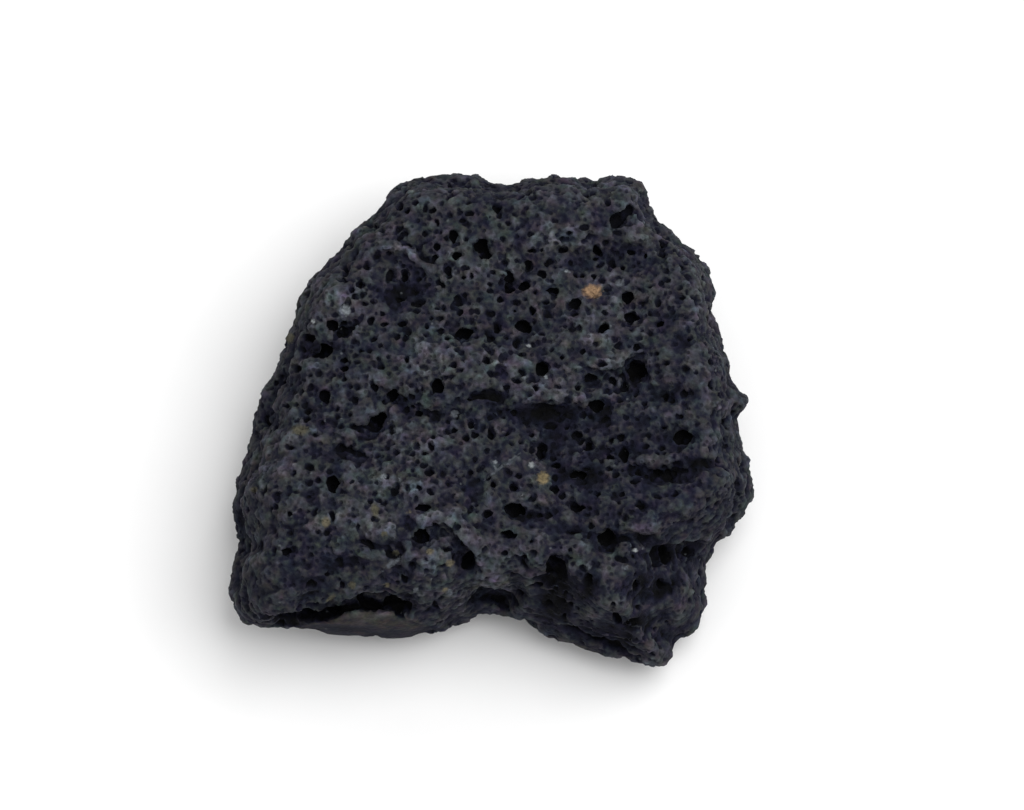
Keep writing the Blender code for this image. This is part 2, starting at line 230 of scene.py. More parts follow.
# Slots and crevices: a line in pixels, then half the width and the added depth in mm
slots = (
    (((349, 426), (362, 430), (372, 431), (380, 422), (387, 411)), 0.24, 0.45),
    (((336, 446), (352, 452), (370, 458)), 0.18, 0.35),
    (((356, 539), (370, 544), (383, 549)), 0.14, 0.12),
    (((384, 542), (396, 545), (409, 551)), 0.16, 0.15),
    (((264, 620), (284, 620), (305, 617), (330, 611)), 0.30, 0.80),
    (((272, 621), (300, 617), (326, 612), (349, 606), (363, 602), (379, 605), (391, 603), (408, 615)),
     0.36, 1.00),
    (((462, 609), (478, 604), (490, 599), (500, 603), (518, 609)), 0.20, 0.18),
    (((562, 628), (600, 643), (645, 660)), 0.18, 0.40),
    (((627, 467), (645, 470), (660, 475), (676, 470), (690, 472), (699, 464), (722, 462)), 0.14, 0.22),
    (((568, 560), (552, 562), (553, 572), (557, 586)), 0.28, 0.50),
    (((610, 220), (624, 217), (635, 208)), 0.26, 0.50),
    (((396, 241), (414, 246), (424, 258), (438, 269)), 0.15, 0.15),
    (((335, 335), (350, 328), (362, 319)), 0.18, 0.30),
    (((511, 549), (524, 559), (527, 573)), 0.14, 0.25),
    (((620, 512), (622, 518), (630, 521), (640, 518)), 0.10, 0.25),
    (((616, 560), (621, 563), (628, 561)), 0.14, 0.35),
)

# Lumps (+) and hollows (-) of the broken face: place, width and height in pixels, and how marked
# each is, up to 1
# their marks also colour the stone: painted shade on the hollows and shaded slopes, painted light on the lumps
forms = (
    (402, 207, 18, 16, -0.6), (483, 188, 14, 12, -0.6), (499, 205, 14, 16, -0.6), (618, 217, 28, 11, -0.7),
    (482, 248, 17, 19, -0.9), (424, 255, 14, 40, -0.5), (470, 218, 20, 10, -0.3), (453, 240, 14, 14, -0.4),
    (527, 256, 16, 20, -0.3), (612, 256, 52, 24, -0.5), (662, 245, 18, 14, -0.6), (345, 281, 22, 14, -0.6),
    (351, 249, 16, 14, -0.5), (402, 293, 42, 20, -1.0), (515, 285, 30, 16, -0.6), (540, 270, 20, 14, -0.3),
    (680, 300, 20, 16, -0.3), (690, 338, 22, 12, -0.6), (660, 325, 20, 14, -0.3), (320, 348, 42, 17, -1.0),
    (340, 325, 24, 20, -0.7), (345, 366, 20, 26, -0.4), (295, 380, 24, 20, -0.6), (375, 345, 16, 12, -0.4),
    (462, 335, 30, 14, -0.6), (495, 325, 18, 20, -0.6), (527, 330, 24, 30, -0.6), (540, 366, 15, 20, -0.7),
    (575, 310, 20, 16, -0.4), (585, 350, 14, 10, -0.3), (634, 376, 26, 28, -1.0), (678, 375, 30, 20, -0.3),
    (485, 398, 46, 13, -1.0), (406, 401, 28, 14, -0.8), (436, 386, 14, 14, -0.6), (542, 413, 58, 18, -1.0),
    (562, 434, 60, 26, -0.4), (602, 411, 20, 18, -0.8), (660, 395, 20, 14, -0.6), (680, 436, 30, 16, -0.6),
    (550, 452, 24, 14, -0.5), (620, 450, 40, 14, -0.5), (581, 474, 40, 18, -0.9), (702, 462, 30, 12, -0.9),
    (655, 474, 60, 14, -0.4), (740, 486, 22, 20, -0.5), (335, 479, 17, 36, -0.7), (312, 410, 20, 16, -0.5),
    (330, 393, 16, 12, -0.4), (371, 424, 36, 14, -0.7), (265, 420, 16, 16, -0.6), (345, 450, 20, 12, -0.5),
    (460, 472, 30, 22, -0.3), (524, 515, 42, 15, -0.9), (510, 535, 20, 10, -0.5), (575, 530, 24, 14, -0.6),
    (640, 508, 24, 12, -0.5), (608, 540, 22, 20, -0.9), (580, 506, 20, 10, -0.4), (665, 555, 20, 22, -0.9),
    (691, 553, 16, 14, -0.4), (382, 545, 50, 9, -0.7), (425, 539, 24, 18, -0.6), (467, 565, 14, 22, -0.8),
    (330, 565, 30, 12, -0.3), (557, 582, 26, 46, -1.0), (560, 614, 40, 18, -0.5), (640, 580, 20, 20, -0.6),
    (665, 590, 20, 16, -0.9), (590, 585, 18, 30, -0.4), (400, 602, 24, 22, -0.6), (411, 575, 14, 20, -0.6),
    (490, 600, 60, 16, -0.8), (600, 634, 60, 20, -0.5), (640, 624, 24, 16, -0.7), (243, 512, 18, 44, -0.4),
    (550, 235, 38, 24, 0.9), (632, 235, 40, 10, 0.5), (402, 254, 34, 12, 0.6), (608, 284, 40, 20, 0.6),
    (585, 317, 15, 32, 0.7), (604, 341, 42, 13, 0.6), (615, 302, 14, 20, 0.4), (646, 330, 14, 20, 0.4),
    (342, 301, 26, 24, 0.9), (320, 322, 14, 10, 0.4), (375, 236, 20, 10, 0.4), (314, 285, 20, 14, 0.4),
    (440, 352, 60, 26, 0.9), (420, 371, 40, 14, 0.6), (366, 376, 20, 20, 0.6), (505, 365, 36, 12, 0.6),
    (540, 386, 40, 13, 0.6), (575, 395, 50, 9, 0.5), (470, 375, 16, 12, 0.4), (616, 359, 40, 10, 0.5),
    (298, 435, 32, 14, 0.5), (270, 452, 26, 32, 0.6), (349, 437, 18, 10, 0.4), (290, 471, 20, 20, 0.5),
    (382, 478, 30, 18, 0.9), (410, 490, 30, 16, 0.8), (419, 442, 40, 28, 0.4), (537, 482, 24, 34, 0.6),
    (615, 470, 12, 14, 0.5), (650, 460, 22, 10, 0.5), (710, 405, 24, 16, 0.5), (706, 440, 16, 14, 0.5),
    (730, 461, 30, 14, 0.5), (345, 515, 24, 20, 0.5), (375, 519, 28, 34, 0.8), (432, 515, 64, 13, 0.5),
    (456, 531, 30, 16, 0.7), (650, 525, 40, 15, 0.6), (434, 560, 24, 22, 0.8), (492, 568, 36, 36, 0.9),
    (445, 595, 32, 14, 0.8), (611, 566, 26, 28, 0.6), (266, 560, 34, 60, 0.3), (655, 610, 22, 20, 0.4),
    (440, 205, 44, 16, 0.3), (700, 310, 18, 40, 0.4), (325, 520, 14, 20, 0.5), (370, 615, 60, 12, 0.4),
    (395, 633, 120, 12, -0.8), (320, 627, 60, 8, -0.6),
    (290, 620, 50, 9, -0.9), (404, 251, 18, 8, 0.6), (426, 268, 10, 16, 0.5), (620, 605, 160, 110, -0.45),
    (660, 480, 150, 130, -0.40), (260, 590, 90, 120, -0.3), (350, 590, 120, 60, -0.3),
    (560, 460, 110, 90, -0.15), (330, 611, 50, 9, -1.0), (375, 604, 56, 9, -1.0), (296, 619, 60, 8, -1.0),
    (360, 633, 170, 9, -0.4), (586, 612, 22, 18, 0.7), (606, 606, 16, 14, 0.4), (627, 602, 18, 16, 0.6),
    (657, 632, 24, 16, 0.6), (578, 548, 36, 16, 0.5), (580, 566, 20, 12, 0.5), (690, 590, 20, 20, 0.3),
    (588, 583, 10, 22, -0.6), (548, 603, 14, 8, -0.5), (628, 641, 16, 8, -0.5), (412, 508, 10, 10, -0.5),
    (398, 492, 12, 10, -0.4), (306, 584, 20, 12, -0.4), (418, 589, 14, 12, 0.4), (385, 530, 22, 12, 0.5),
)
formHeight = 0.26  # mm, of the most marked

# Places where the solid's ledges are broken up, or a lump is higher: place, width and height in
# pixels, height in mm
fillings = (
    (440, 406, 44, 20, 0.60), (478, 405, 44, 16, 0.45), (510, 403, 16, 16, 0.40), (400, 407, 34, 16, 0.30),
    (592, 406, 20, 14, 0.30), (482, 404, 50, 14, 0.25), (545, 414, 76, 20, 0.48),
    (575, 241, 50, 12, 0.20), (625, 241, 44, 12, 0.20), (420, 262, 20, 24, 0.12),
    (650, 479, 50, 12, 0.25), (630, 545, 34, 12, 0.25), (702, 548, 26, 12, 0.20), (645, 243, 30, 12, 0.15),
    (490, 607, 40, 10, 0.20), (497, 565, 50, 46, 0.32), (370, 545, 44, 18, 0.32), (398, 548, 40, 18, 0.34),
    (345, 562, 50, 18, 0.20),
)

# Steep places on the near side where the grain is finer: place, width and height in pixels, and how much
calmPlaces = (
    (600, 622, 150, 60, 0.55), (690, 600, 50, 80, 0.35), (262, 580, 50, 90, 0.30),
)

# Places along the outline that stand out (+) or in (-): place, width and height in pixels, push in mm
rimPlaces = (
    (738, 388, 30, 26, -0.35), (722, 360, 26, 26, 0.32), (612, 184, 80, 26, 0.42), (354, 240, 36, 36, 0.48),
    (299, 310, 36, 36, 0.22), (264, 390, 32, 44, 0.22), (236, 528, 30, 34, -0.22), (517, 612, 38, 30, 0.55),
    (668, 650, 26, 26, 0.28), (706, 586, 24, 44, -0.28), (742, 456, 26, 34, 0.22),
)

# Pits where grains have dropped out: place, width and height in pixels
pits = (
    (399, 206, 9, 9), (407, 211, 9, 7), (370, 226, 14, 5), (353, 250, 16, 8), (425, 233, 6, 9),
    (345, 270, 6, 11), (343, 281, 12, 6), (361, 285, 9, 11), (367, 266, 7, 9), (404, 275, 7, 11),
    (390, 277, 6, 5), (331, 325, 12, 9), (321, 320, 6, 5), (310, 338, 12, 8), (302, 348, 7, 6),
    (321, 351, 20, 12), (373, 319, 7, 6), (385, 324, 9, 5), (402, 323, 11, 7), (427, 327, 6, 6),
    (426, 336, 6, 5), (373, 338, 8, 7), (380, 346, 4, 6), (379, 358, 7, 5), (388, 357, 5, 4),
    (310, 295, 8, 6), (323, 276, 8, 6), (354, 296, 5, 5), (365, 304, 8, 5), (485, 190, 10, 8),
    (497, 206, 10, 10), (499, 216, 7, 5), (470, 214, 9, 5), (464, 219, 5, 4), (433, 210, 6, 6),
    (437, 221, 6, 6), (453, 236, 7, 12), (466, 239, 6, 6), (437, 247, 7, 9), (481, 246, 11, 12), (485, 254, 12, 10),
    (503, 239, 6, 7), (512, 245, 5, 5), (456, 256, 10, 9), (435, 259, 6, 6), (447, 270, 9, 9),
    (465, 269, 9, 7), (471, 276, 5, 7), (439, 282, 9, 7), (504, 262, 8, 6), (490, 284, 7, 5),
    (490, 291, 8, 5), (510, 277, 8, 9), (509, 290, 8, 9), (465, 294, 9, 4), (529, 266, 8, 11),
    (543, 274, 8, 7), (525, 287, 11, 9), (551, 291, 15, 5), (546, 301, 8, 5), (524, 300, 6, 4),
    (480, 300, 6, 4), (456, 308, 5, 5), (437, 309, 8, 5), (420, 305, 4, 5), (412, 302, 5, 4),
    (500, 300, 7, 8), (514, 311, 6, 5), (533, 310, 10, 11), (576, 303, 11, 9), (497, 326, 9, 12),
    (480, 323, 6, 6), (465, 333, 15, 10), (447, 339, 7, 6), (447, 348, 6, 5), (490, 337, 9, 6),
    (508, 336, 5, 5), (523, 325, 11, 11), (543, 334, 6, 4), (517, 341, 9, 11), (521, 356, 7, 5),
    (562, 250, 12, 7), (542, 250, 6, 5), (532, 251, 9, 5), (571, 262, 5, 5), (576, 275, 6, 7),
    (569, 233, 5, 5), (584, 228, 9, 4), (595, 276, 7, 4), (597, 250, 9, 11), (596, 258, 6, 5),
    (613, 250, 6, 6), (631, 252, 10, 5), (614, 264, 6, 6), (623, 266, 6, 5), (593, 195, 8, 5),
    (608, 203, 6, 6), (663, 243, 11, 8), (663, 253, 8, 5), (686, 263, 6, 6), (700, 262, 10, 10),
    (667, 280, 8, 5), (650, 287, 6, 5), (682, 296, 9, 6), (627, 298, 13, 13), (643, 302, 7, 6),
    (631, 318, 14, 12), (605, 328, 9, 14), (641, 322, 5, 5), (659, 323, 10, 7), (690, 338, 8, 6),
    (297, 368, 11, 8), (287, 385, 12, 6), (311, 387, 6, 6), (325, 396, 12, 11), (286, 406, 6, 6),
    (337, 409, 7, 6), (307, 411, 7, 6), (350, 414, 5, 5), (297, 421, 6, 5), (344, 361, 9, 7),
    (345, 368, 9, 7), (358, 362, 7, 5), (344, 379, 7, 5), (367, 396, 4, 4), (267, 422, 10, 15),
    (316, 435, 7, 5), (290, 448, 9, 6), (294, 473, 6, 9), (255, 492, 5, 5), (392, 397, 9, 12),
    (382, 417, 9, 11), (332, 484, 10, 16), (351, 483, 7, 5), (395, 491, 7, 6), (389, 458, 6, 4),
    (394, 443, 5, 5), (276, 507, 6, 6), (308, 511, 6, 5), (316, 510, 4, 5), (333, 517, 6, 10),
    (286, 551, 11, 6), (328, 573, 5, 5), (312, 587, 9, 6), (242, 601, 5, 5), (256, 579, 4, 4),
    (407, 361, 6, 8), (454, 366, 9, 6), (464, 364, 4, 4), (486, 360, 8, 11), (407, 382, 5, 5),
    (438, 387, 11, 14), (541, 369, 11, 15), (562, 357, 8, 7), (518, 381, 11, 6), (578, 387, 7, 7),
    (590, 379, 13, 6), (602, 365, 11, 6), (583, 352, 6, 6), (615, 383, 5, 5), (625, 383, 8, 12),
    (637, 369, 14, 16), (594, 406, 16, 11), (603, 419, 11, 10), (626, 418, 7, 4), (645, 403, 6, 5),
    (637, 347, 7, 9), (657, 354, 7, 5), (665, 363, 9, 7), (665, 395, 7, 6), (711, 385, 7, 11),
    (695, 372, 6, 5), (726, 424, 10, 14), (471, 424, 7, 9), (490, 417, 9, 5), (477, 424, 4, 4),
    (466, 438, 8, 7), (491, 434, 10, 9), (507, 432, 5, 9), (455, 429, 8, 5), (431, 446, 9, 8),
    (419, 414, 6, 5), (435, 416, 4, 4), (533, 435, 7, 6), (521, 442, 7, 6), (525, 449, 6, 5),
    (550, 426, 14, 5), (566, 426, 5, 6), (577, 435, 10, 8), (543, 449, 9, 12), (487, 451, 4, 6),
    (429, 472, 9, 8), (434, 481, 7, 5), (471, 472, 6, 5), (454, 482, 4, 4), (493, 484, 9, 9),
    (514, 486, 10, 9), (554, 489, 10, 9), (555, 476, 6, 6), (556, 463, 8, 4), (573, 486, 6, 5),
    (580, 475, 16, 9), (588, 446, 11, 9), (598, 494, 8, 5), (601, 473, 6, 5), (609, 469, 5, 5),
    (610, 457, 9, 7), (611, 440, 6, 8), (624, 452, 9, 12), (622, 494, 6, 4), (635, 481, 11, 6),
    (646, 446, 7, 5), (659, 437, 5, 5), (665, 426, 9, 5), (683, 437, 16, 10), (664, 452, 5, 5),
    (657, 475, 9, 6), (657, 494, 9, 7), (676, 492, 9, 6), (737, 484, 9, 9), (732, 508, 7, 9),
    (640, 505, 11, 9), (487, 513, 10, 7), (515, 508, 16, 12), (508, 535, 17, 8), (422, 537, 13, 14),
    (422, 508, 16, 6), (447, 549, 9, 7), (468, 563, 11, 13), (412, 566, 7, 12), (405, 580, 7, 7),
    (534, 587, 14, 5), (547, 606, 9, 5), (564, 617, 6, 7), (436, 606, 6, 7), (573, 564, 5, 5),
    (575, 547, 5, 4), (562, 547, 4, 4), (533, 540, 7, 4), (573, 531, 15, 6), (540, 514, 10, 5),
    (578, 507, 12, 9), (608, 540, 15, 11), (667, 555, 11, 17), (690, 552, 12, 10), (637, 588, 8, 11),
    (636, 575, 6, 6), (587, 580, 10, 14), (667, 587, 16, 8), (617, 620, 9, 15), (638, 622, 12, 9),
    (645, 638, 9, 5), (652, 654, 7, 5), (613, 605, 7, 5), (640, 608, 7, 5),
)

# Round grains that stand proud of the broken face: place and radius in pixels, height in mm
beads = ((622, 549, 9, 0.34), (632, 512, 9, 0.30))

# Grains of another colour: place, width and height in pixels, turn in degrees, and their kind
grains = (
    (592, 291, 21, 15, 0, "tan"), (543, 478, 14, 14, 0, "yellow"), (531, 465, 7, 7, 0, "white"),
    (346, 310, 11, 13, 0, "blueWhite"), (313, 321, 6, 5, 0, "white"), (384, 476, 7, 6, 0, "blueWhite"),
    (529, 346, 5, 5, 0, "white"), (521, 494, 5, 4, 0, "white"), (567, 271, 5, 4, 0, "blueWhite"),
    (495, 462, 6, 5, 0, "blueWhite"), (546, 377, 5, 5, 0, "blueWhite"), (635, 550, 6, 5, 0, "white"),
    (620, 283, 10, 8, 0, "grey"), (455, 414, 9, 8, 0, "grey"), (398, 430, 10, 8, 0, "grey"),
    (290, 338, 10, 12, 0, "olive"), (300, 430, 20, 12, 0, "olive"), (326, 522, 10, 13, 0, "beige"),
    (375, 510, 9, 16, 0, "olive"), (384, 534, 8, 7, 0, "olive"), (396, 553, 8, 6, 0, "olive"),
    (430, 552, 9, 9, 0, "beige"), (450, 563, 10, 8, 0, "beige"), (449, 592, 8, 7, 0, "grey"),
    (416, 590, 7, 6, 0, "grey"), (464, 590, 6, 5, 0, "grey"), (588, 567, 9, 7, 0, "grey"),
    (625, 567, 8, 6, 0, "grey"), (392, 564, 28, 5, 35, "grey"),
    (408, 511, 7, 6, 0, "beige"), (352, 585, 8, 10, 0, "olive"), (387, 585, 7, 6, 0, "beige"),
    (446, 590, 8, 6, 0, "beige"), (331, 598, 14, 5, 35, "olive"), (254, 490, 8, 7, 0, "olive"),
    (500, 468, 54, 3, 37, "grey"),
)
grainColours = {
    "tan": "7e664f",
    "yellow": "625842",
    "beige": "544f42",
    "olive": "434137",
    "white": "787c7e",
    "blueWhite": "666b70",
    "grey": "484c52",
}


def readVectors(mesh, name):
    values = np.empty(len(mesh.vertices) * 3, dtype=np.float32)
    mesh.vertices.foreach_get(name, values)
    return values.reshape(-1, 3).astype(float)


def writePoints(mesh, points):
    mesh.vertices.foreach_set("co", points.astype(np.float32).ravel())
    mesh.update()


def throughModifier(mesh, kind, keep=False, **settings):
    # a new mesh: this one after a single modifier
    holder = bpy.data.objects.new("work", mesh)
    bpy.context.scene.collection.objects.link(holder)
    modifier = holder.modifiers.new(kind.lower(), kind)
    for name, value in settings.items():
        setattr(modifier, name, value)
    result = bpy.data.meshes.new_from_object(holder.evaluated_get(bpy.context.evaluated_depsgraph_get()))
    bpy.data.objects.remove(holder, do_unlink=True)
    if not keep:
        bpy.data.meshes.remove(mesh)
    return result


def startFromSolid():
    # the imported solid, its loose triangles joined, in millimetres
    bm = bmesh.new()
    bm.from_mesh(frame["nodes"][stone["node"]].data)
    bmesh.ops.remove_doubles(bm, verts=bm.verts[:], dist=0.000001)
    bmesh.ops.scale(bm, vec=(1000.0, 1000.0, 1000.0), verts=bm.verts[:])
    mesh = bpy.data.meshes.new("stone")
    bm.to_mesh(mesh)
    bm.free()
    mesh = throughModifier(mesh, "REMESH", mode="VOXEL", voxel_size=stone["firstGrid"])
    return throughModifier(mesh, "SMOOTH", factor=0.5, iterations=stone["facetSmoothing"])


def smoothBetween(values, low, high):
    t = np.clip((values - low) / (high - low), 0.0, 1.0)
    return t * t * (3.0 - 2.0 * t)


def noiseAt(points, size, shift):
    # smooth noise from -1 to 1 with lumps of this size in mm
    offset = Vector((shift, 3.7 * shift, 11.3))
    return np.array([noise.noise(Vector(point) / size + offset) for point in points])


def noiseShift(points, size, shift):
    offset = Vector((shift, 3.7 * shift, 11.3))
    return np.array([noise.noise_vector(Vector(point) / size + offset) for point in points])


def lumpsAt(points, size, shift):
    # rounded lumps of about this size: 1 on top and 0 in the gaps, and each lump's own random value
    offset = Vector((shift, 3.7 * shift, 11.3))
    found = [noise.voronoi(Vector(point) / size + offset) for point in points]
    gap = np.array([reach[1] - reach[0] for reach, _ in found])
    hearts = np.array([places[0] for _, places in found])
    own = np.sin(hearts @ np.array((12.99, 78.23, 37.72))) * 43758.5 % 1.0
    return np.sqrt(np.clip(gap * 1.6, 0.0, 1.0)), own


def distanceToLine(x, y, line):
    # each point's distance in pixels from a line, positive on its left hand, and how far along it is
    steps = np.diff(line, axis=0)
    lengths = np.hypot(steps[:, 0], steps[:, 1])
    starts = np.concatenate(([0.0], np.cumsum(lengths)))
    nearest = np.full(len(x), np.inf)
    side = np.ones(len(x))
    share = np.zeros(len(x))
    for start, step, length, run in zip(line, steps, lengths, starts):
        dx = x - start[0]
        dy = y - start[1]
        t = np.clip((dx * step[0] + dy * step[1]) / length ** 2, 0.0, 1.0)
        distance = np.hypot(dx - t * step[0], dy - t * step[1])
        closer = distance < nearest
        nearest[closer] = distance[closer]
        side[closer] = -np.sign(step[0] * dy - step[1] * dx)[closer]
        share[closer] = ((run + t * length) / starts[-1])[closer]
    return nearest * side, share


def facingViewer(normals):
    return smoothBetween(normals @ np.array(viewerWay), stone["seenFrom"], stone["seenWhole"])


def cutLedgesAndSlots(x, y):
    # the extra crispness of the ledges and crevices, in mm, for places given in pixels
    push = np.zeros(len(x))
    for line, lip, drop in ledges:
        distance, share = distanceToLine(x, y, np.array(line, dtype=float))
        ends = np.sqrt(np.clip(5.0 * share * (1.0 - share), 0.0, 1.0))
        high = lip * np.exp(-np.abs(distance) / 7.0)
        low = -drop * np.exp(-np.abs(distance) / 9.0)
        push += ends * (low + (high - low) * smoothBetween(distance, -1.2, 1.2))
    for line, halfWidth, depth in slots:
        distance, share = distanceToLine(x, y, np.array(line, dtype=float))
        ends = np.sqrt(np.clip(5.0 * share * (1.0 - share), 0.0, 1.0))
        inside = np.clip(1.0 - (distance / (halfWidth * view["pixelsPerMm"])) ** 2, 0.0, 1.0)
        push -= depth * np.sqrt(inside) * ends
    return push


def markedForms(x, y):
    # how far a place belongs to a lump (+) or a hollow (-)
    marked = np.zeros(len(x))
    for px, py, width, height, strength in forms:
        near = np.flatnonzero((np.abs(x - px) < 1.6 * width) & (np.abs(y - py) < 1.6 * height))
        reach = ((x[near] - px) / (0.5 * width)) ** 2 + ((y[near] - py) / (0.5 * height)) ** 2
        marked[near] += strength * np.exp(-0.7 * reach)
    return np.clip(marked, -1.0, 1.0)


def pushedPlaces(x, y, places):
    push = np.zeros(len(x))
    for px, py, width, height, rise in places:
        push += rise * np.exp(-((x - px) / (0.5 * width)) ** 2 - ((y - py) / (0.5 * height)) ** 2)
    return push


def strayedPlace(points):
    # where points show in the picture, each shifted a little, so that no drawn edge stays smooth
    x, y = picturePlace(points)
    wander = noiseShift(points, 1.1, 2.0) * 4.5 + noiseShift(points, 0.45, 5.0) * 2.6
    return x + wander[:, 0], y + wander[:, 1]


def pitProfile(reach):
    # 0 outside a pit and 1 on its floor, with a rounded rim and a bowl below it
    return np.clip(1.0 - reach ** 2.4, 0.0, 1.0) ** 0.8


def cutSeenPits(x, y, wobble):
    deepest = np.zeros(len(x))
    rim = np.zeros(len(x))
    for px, py, width, height in pits:
        near = np.flatnonzero((np.abs(x - px) < width) & (np.abs(y - py) < height))
        reach = np.hypot((x[near] - px) / (0.5 * width), (y[near] - py) / (0.5 * height)) * wobble[near]
        depth = stone["pitDepth"] * math.sqrt(width * height) / view["pixelsPerMm"]
        deepest[near] = np.maximum(deepest[near], depth * pitProfile(reach))
        rim[near] = np.maximum(rim[near], 0.05 * np.exp(-((reach - 1.25) / 0.25) ** 2))
    return rim - deepest


def raiseBeads(x, y):
    push = np.zeros(len(x))
    for px, py, radius, height in beads:
        reach = np.hypot(x - px, y - py) / radius
        push = np.maximum(push, height * np.sqrt(np.clip(1.0 - reach ** 2, 0.0, 1.0)))
    return push


def pointTree(points):
    tree = kdtree.KDTree(len(points))
    for index, point in enumerate(points):
        tree.insert(point, index)
    tree.balance()
    return tree


def scatterPits(tree, points, wobble, share, count, smallest, largest, random):
    # pits of random sizes about places thrown at random into the stone's box, where one falls close
    # to the surface; share says how likely each point is to take it
    low = np.array(cadBox[0]) * 1000.0
    size = np.array(cadBox[1]) * 1000.0 - low
    deepest = np.zeros(len(points))
    placed = 0
    while placed < count:
        draw = random.random(6)
        _, centre, away = tree.find(low + size * draw[:3])
        if draw[3] > share[centre] or away > 0.3:
            continue
        placed += 1
        radius = smallest + (largest - smallest) * draw[4] ** 1.6
        depth = radius * (0.9 + draw[5])
        for _, index, distance in tree.find_range(points[centre], 1.3 * radius):
            reach = distance / radius * wobble[index]
            if reach < 1.0:
                deepest[index] = max(deepest[index], depth * math.sqrt(1.0 - reach ** 3))
    return -deepest


def roundPitShare(x, y):
    # how much of the round pitting a place in the picture has: full in the upper middle
    high = 1.0 - smoothBetween(y, 430.0, 560.0)
    left = smoothBetween(x, 250.0, 400.0)
    return 0.25 + 0.75 * high * (0.35 + 0.65 * left)


# The smooth faces low on the near side, each below a line in pixels, and how smooth each is
smoothFaces = (
    (((296, 626), (318, 620), (345, 611), (366, 607), (388, 608), (408, 616), (436, 629)), 1.0),
    (((560, 633), (578, 639), (592, 645), (606, 650)), 0.5),
)


def smoothFaceShare(points, normals):
    share = np.zeros(len(points))
    x, y = picturePlace(points)
    low = np.flatnonzero((y > 595.0) & (points[:, 2] < 8.0) & (points[:, 1] < 0.0) & (normals[:, 1] < 0.3))
    strayedX, strayedY = strayedPlace(points[low])
    x = 0.6 * x[low] + 0.4 * strayedX
    y = 0.6 * y[low] + 0.4 * strayedY
    for line, strength in smoothFaces:
        distance, along = distanceToLine(x, y, np.array(line, dtype=float))
        ends = smoothBetween(along, 0.0, 0.08) * (1.0 - smoothBetween(along, 0.90, 1.0))
        below = smoothBetween(-distance, 0.5, 3.5) * (1.0 - smoothBetween(-distance, 24.0, 36.0))
        share[low] = np.maximum(share[low], strength * ends * below)
    return share


def pittedShare(points, normals):
    # everywhere but on the smooth faces
    return 1.0 - 0.9 * smoothFaceShare(points, normals)


def brokenShare(points, normals):
    # how rough a place is: not on the flat spot it rests on, and hardly on the smooth faces
    return smoothBetween(points[:, 2], 0.02, 0.35) * pittedShare(points, normals)


def cutForms(mesh):
    # ledges, crevices and pits, cut while the surface is still smooth
    points = readVectors(mesh, "co")
    normals = readVectors(mesh, "normal")
    seen = facingViewer(normals)
    broken = brokenShare(points, normals)
    pitted = pittedShare(points, normals)
    x, y = picturePlace(points)
    strayedX, strayedY = strayedPlace(points)
    push = broken * (stone["skin"] + pushedPlaces(x, y, rimPlaces))
    push += seen * cutLedgesAndSlots(strayedX, strayedY)
    push += seen * broken * formHeight * markedForms(strayedX, strayedY)
    push += seen * pushedPlaces(strayedX, strayedY, fillings)

    swell = 0.20 * noiseAt(points, 2.3, 13.0) + 0.16 * noiseAt(points, 1.15, 14.0)
    crumb, own = lumpsAt(points + 0.2 * noiseShift(points, 0.6, 15.0), 1.15, 16.0)
    swell += 0.16 * (crumb - 0.8) - 0.34 * (own < 0.16) * crumb
    push += broken * (1.0 - 0.45 * seen * roundPitShare(x, y)) * swell

    wobble = 1.0 + stone["pitWander"] * noiseAt(points, 0.28, 9.0)
    push += seen * cutSeenPits(x, y, wobble)
    push += seen * raiseBeads(x, y)

    random = np.random.default_rng(stone["seed"])
    share = (seen * roundPitShare(x, y) + (1.0 - seen) * 0.4) * pitted
    share *= 0.15 + 0.85 * smoothBetween(noiseAt(points, stone["pitClusters"], 18.0), -0.35, 0.35)
    tree = pointTree(points)
    push += pitted * scatterPits(tree, points, wobble, share, stone["smallPits"],
                                 *stone["smallPitRadius"], random)
    share = (1.0 - seen) * pitted
    push += pitted * scatterPits(tree, points, wobble, share, stone["hiddenPits"],
                                 *stone["hiddenPitRadius"], random)
    writePoints(mesh, points + normals * push[:, None])
    return throughModifier(mesh, "REMESH", mode="VOXEL", voxel_size=stone["secondGrid"])


def lumpPlaces(points):
    # the lumps' pattern strays a little, so that no two look alike
    return points + 0.24 * noiseShift(points, 0.5, 4.0)


def cutGrain(mesh):
    # the broken surface between the pits: lumps, gaps and grit
    points = readVectors(mesh, "co")
    normals = readVectors(mesh, "normal")
    broken = brokenShare(points, normals)
    x, y = picturePlace(points)
    calm = 1.0 - pushedPlaces(x, y, calmPlaces) * smoothBetween(-normals[:, 1], 0.0, 0.5)
    calm *= 1.0 - stone["rimCalm"] * np.exp(-(normals @ np.array(viewerWay) / 0.3) ** 2)
    lumpy = 1.0 - 0.2 * facingViewer(normals) * roundPitShare(x, y)
    strayed = lumpPlaces(points)
    lump, own = lumpsAt(strayed, 0.60, 3.0)
    push = lumpy * (0.06 * (lump - 0.75) + 0.10 * (own - 0.5) * lump)
    push += 0.13 * noiseAt(strayed, 0.85, 1.0)
    push += 0.09 * noiseAt(strayed, 0.40, 6.0)
    push += 0.07 * noiseAt(points, 0.21, 8.0)
    points = points + normals * (push * calm * broken)[:, None]
    points[:, 2] = np.maximum(points[:, 2], 0.0)
    writePoints(mesh, points)


def keepOnePiece(bm):
    # drops closed specks and bubbles beside or inside the stone
    unseen = set(bm.verts)
    groups = []
    while unseen:
        queue = [unseen.pop()]
        group = [queue[0]]
        while queue:
            for edge in queue.pop().link_edges:
                for vert in edge.verts:
                    if vert in unseen:
                        unseen.remove(vert)
                        group.append(vert)
                        queue.append(vert)
        groups.append(group)
    groups.sort(key=len)
    for group in groups[:-1]:
        bmesh.ops.delete(bm, geom=group, context="VERTS")
    return len(groups) - 1


